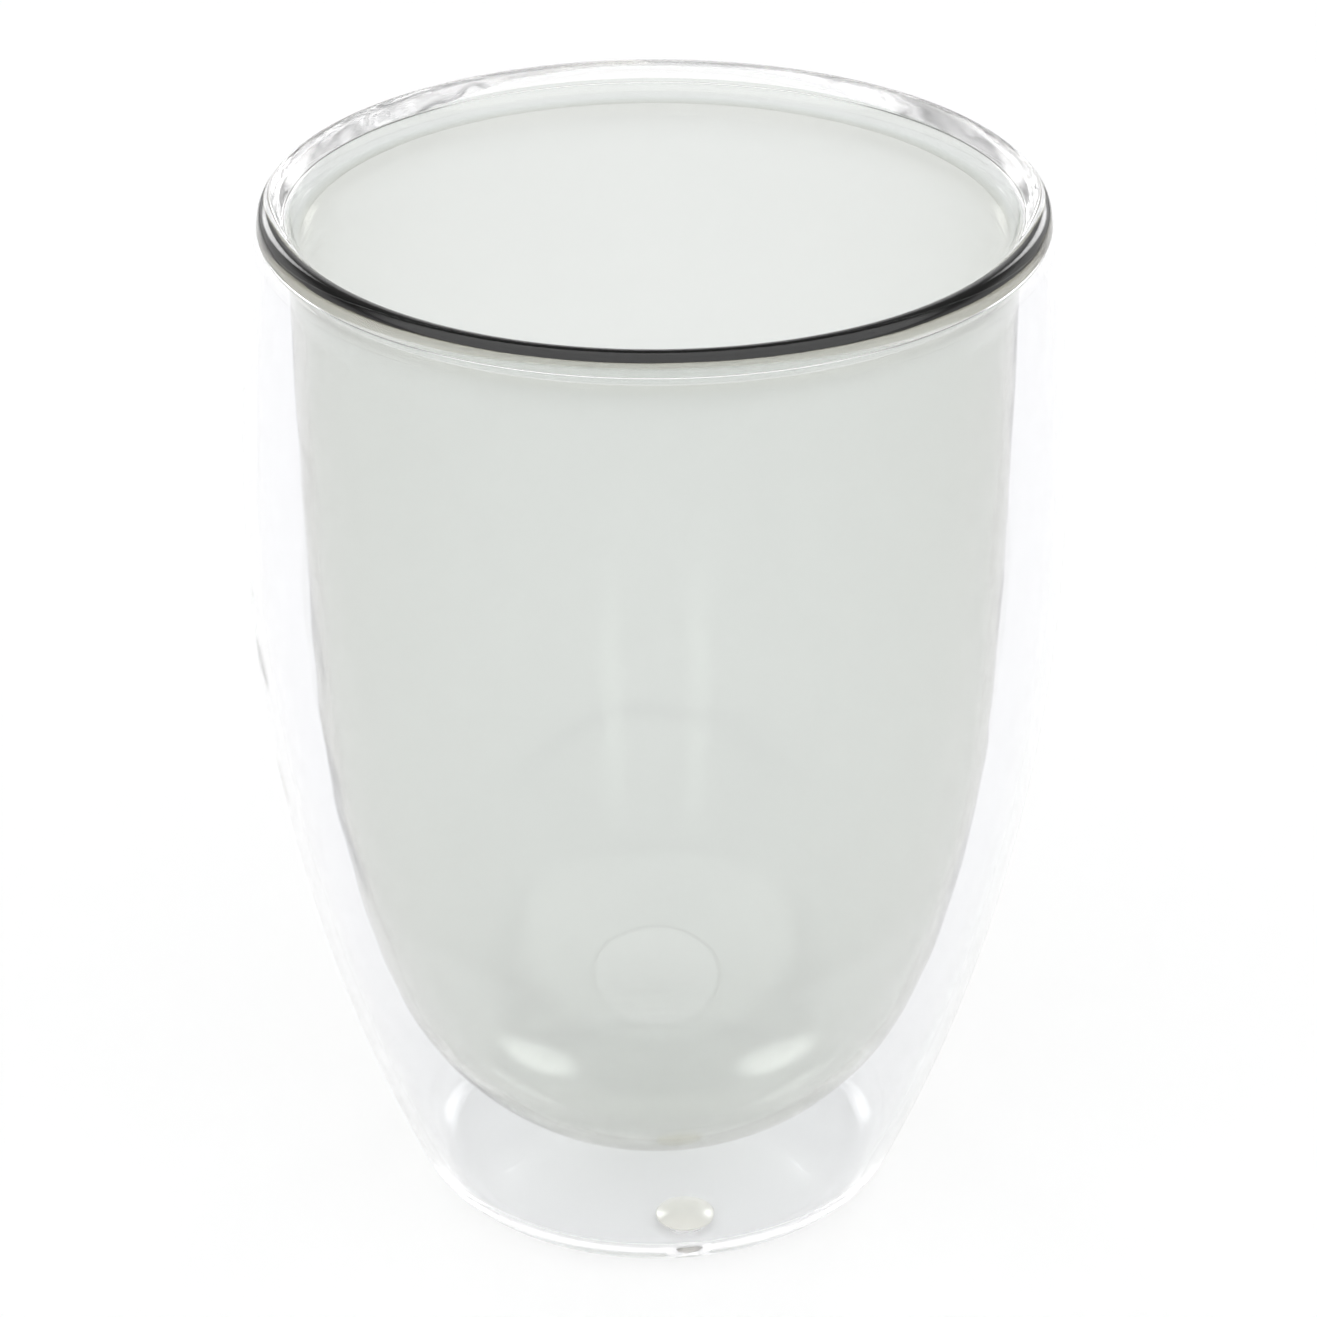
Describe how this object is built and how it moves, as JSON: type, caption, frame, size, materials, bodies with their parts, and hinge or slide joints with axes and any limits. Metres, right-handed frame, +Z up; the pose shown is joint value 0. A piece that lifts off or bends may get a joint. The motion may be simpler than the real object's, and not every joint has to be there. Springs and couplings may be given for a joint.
{
  "type": "double walled glass cup",
  "caption": "Egg-shaped double walled tumbler: a clear outer shell and a smoke-tinted round-bottomed bowl fused at a thick round lip, with a plugged vent in the base.",
  "frame": {"origin": "centre of the base, on the plane that the cup rests on", "axes": "+Z up along the cup's axis; the vent in the base lies towards -Y"},
  "size_m": [0.09, 0.09, 0.12],
  "materials": {
    "clear_glass": "clear, smooth",
    "smoke_glass": "light smoke grey-green tint, smooth",
    "lip_glass": "fire-polished",
    "silicone": "translucent, satin"
  },
  "bodies": {
    "root": {"outer_glass": "clear_glass", "inner_glass": "smoke_glass", "rim_bead": "lip_glass", "vent_plug": "silicone"}
  },
  "joints": []
}
